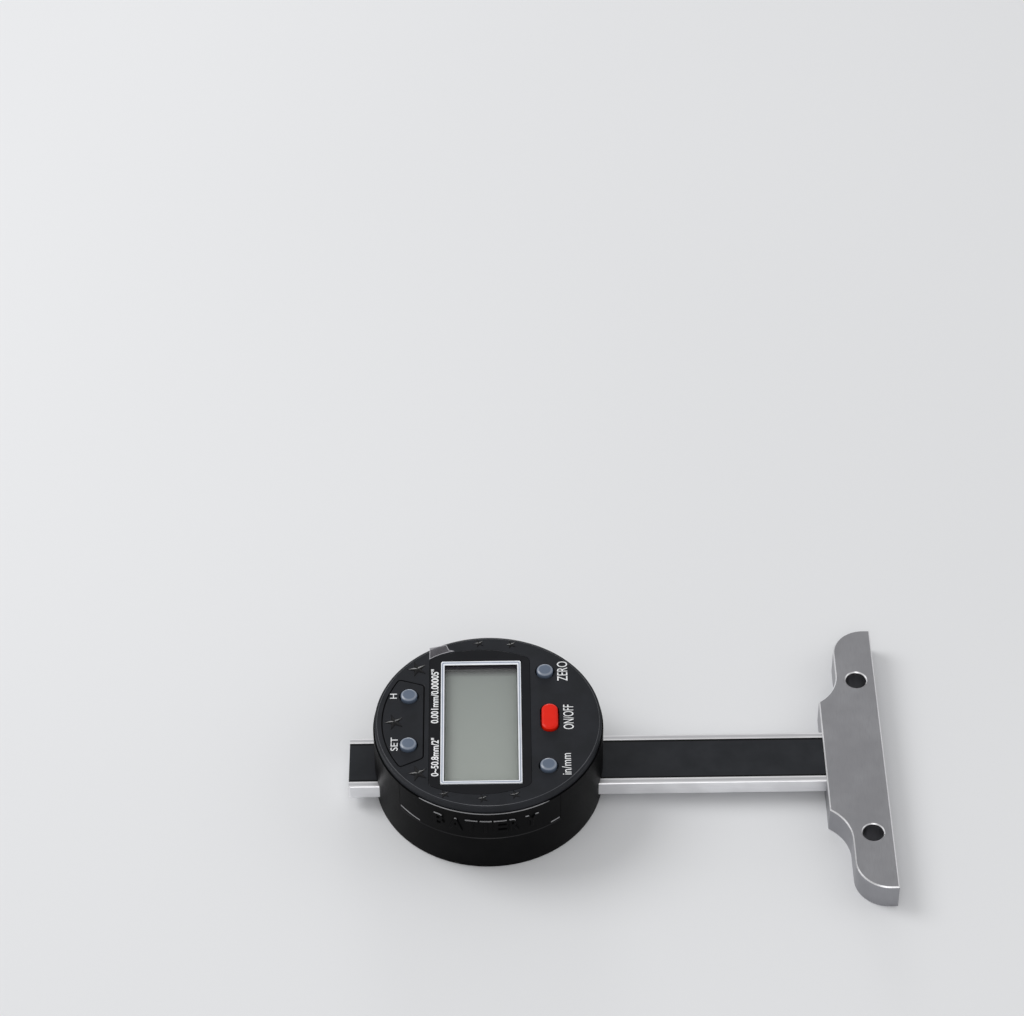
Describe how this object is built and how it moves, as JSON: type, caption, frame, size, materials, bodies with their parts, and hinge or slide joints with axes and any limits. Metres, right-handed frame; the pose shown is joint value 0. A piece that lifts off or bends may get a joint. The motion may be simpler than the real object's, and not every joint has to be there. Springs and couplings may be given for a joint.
{
  "type": "depth gauge",
  "caption": "Digital depth gauge: a round display head slides on a flat scale beam and pushes a thin depth rod out of a wide measuring base.",
  "frame": {"origin": "middle of the measuring face, on the axis of the depth rod, whose tip is level with the face at rest", "axes": "+X out of the measuring face along the depth rod, +Z out of the display, +Y away from the battery door"},
  "size_m": [0.1328, 0.0844, 0.0228],
  "materials": {
    "beam_steel": "stainless, edges polished bright",
    "base_steel": "stainless, satin, with bright chamfers",
    "machined_steel": "milled stainless",
    "rod_steel": "ground stainless",
    "screw_steel": "nickel-plated screws",
    "black_steel": "black oxide grub screws",
    "knob_steel": "turned stainless knob",
    "cell_steel": "nickel-plated battery can",
    "spring_brass": "brass",
    "scale_black": "printed scale strip, matt",
    "housing_plastic": "fine moulded texture",
    "cover_plastic": "matt moulded front cover",
    "lens_plastic": "glossy dark panel",
    "frame_plastic": "silver-white frame",
    "pane": "clear pane",
    "display": "blank liquid crystal cell",
    "holder_plastic": "white inner plastic",
    "board_green": "circuit board",
    "link_plastic": "black connector",
    "pad_rubber": "silicone rubber",
    "grey_button": "grey-blue button, satin",
    "red_button": "red button, satin"
  },
  "bodies": {
    "beam_and_base": {"beam": "beam_steel", "scale_strip": "scale_black", "base_plate": "base_steel", "base_clamp": "base_steel", "base_screws": "screw_steel", "stop_screw": "screw_steel"},
    "head": {"carriage": "machined_steel", "carriage_plate": "machined_steel", "carriage_plate_screws": "screw_steel", "depth_rod": "rod_steel", "rod_clamp": "machined_steel", "rod_clamp_screws": "screw_steel", "gib_strip": "spring_brass", "gib_screws": "black_steel", "sensor_board": "board_green", "board_link": "link_plastic", "housing": "housing_plastic", "carriage_screws": "screw_steel", "rear_cover": "housing_plastic", "rear_cover_screws": "screw_steel", "positive_contact": "spring_brass", "negative_contact": "spring_brass", "main_board": "board_green", "contact_strips": "pad_rubber", "display_cell": "display", "display_holder": "holder_plastic", "front_cover": "cover_plastic", "cover_screws": "screw_steel", "lens_panel": "lens_plastic", "window_frame": "frame_plastic", "window_pane": "pane", "button_pads": "pad_rubber"},
    "battery_drawer": {"battery_tray": "housing_plastic", "coin_cell": "cell_steel"},
    "lock_screw": {"lock_screw": "knob_steel"},
    "zero_button": {"zero_button": "grey_button"},
    "on_off_button": {"on_off_button": "red_button"},
    "unit_button": {"unit_button": "grey_button"},
    "hold_button": {"hold_button": "grey_button"},
    "set_button": {"set_button": "grey_button"}
  },
  "joints": [
    {"name": "head_slide", "type": "slide", "parent": "beam_and_base", "child": "head", "axis": [1, 0, 0], "range_m": [0, 0.0508]},
    {"name": "battery_drawer_slide", "type": "slide", "parent": "head", "child": "battery_drawer", "axis": [0, -1, 0], "range_m": [0, 0.024]},
    {"name": "lock_screw_turn", "type": "hinge", "parent": "head", "child": "lock_screw", "pos_m": [-0.09816, 0.034, 0.0012], "axis": [0, -1, 0], "range_deg": [-180, 72]},
    {"name": "zero_button_press", "type": "slide", "parent": "head", "child": "zero_button", "axis": [0, 0, -1], "range_m": [0, 0.0005], "stiffness_N_per_m": 1500},
    {"name": "on_off_button_press", "type": "slide", "parent": "head", "child": "on_off_button", "axis": [0, 0, -1], "range_m": [0, 0.0005], "stiffness_N_per_m": 1500},
    {"name": "unit_button_press", "type": "slide", "parent": "head", "child": "unit_button", "axis": [0, 0, -1], "range_m": [0, 0.0005], "stiffness_N_per_m": 1500},
    {"name": "hold_button_press", "type": "slide", "parent": "head", "child": "hold_button", "axis": [0, 0, -1], "range_m": [0, 0.0005], "stiffness_N_per_m": 1500},
    {"name": "set_button_press", "type": "slide", "parent": "head", "child": "set_button", "axis": [0, 0, -1], "range_m": [0, 0.0005], "stiffness_N_per_m": 1500}
  ]
}
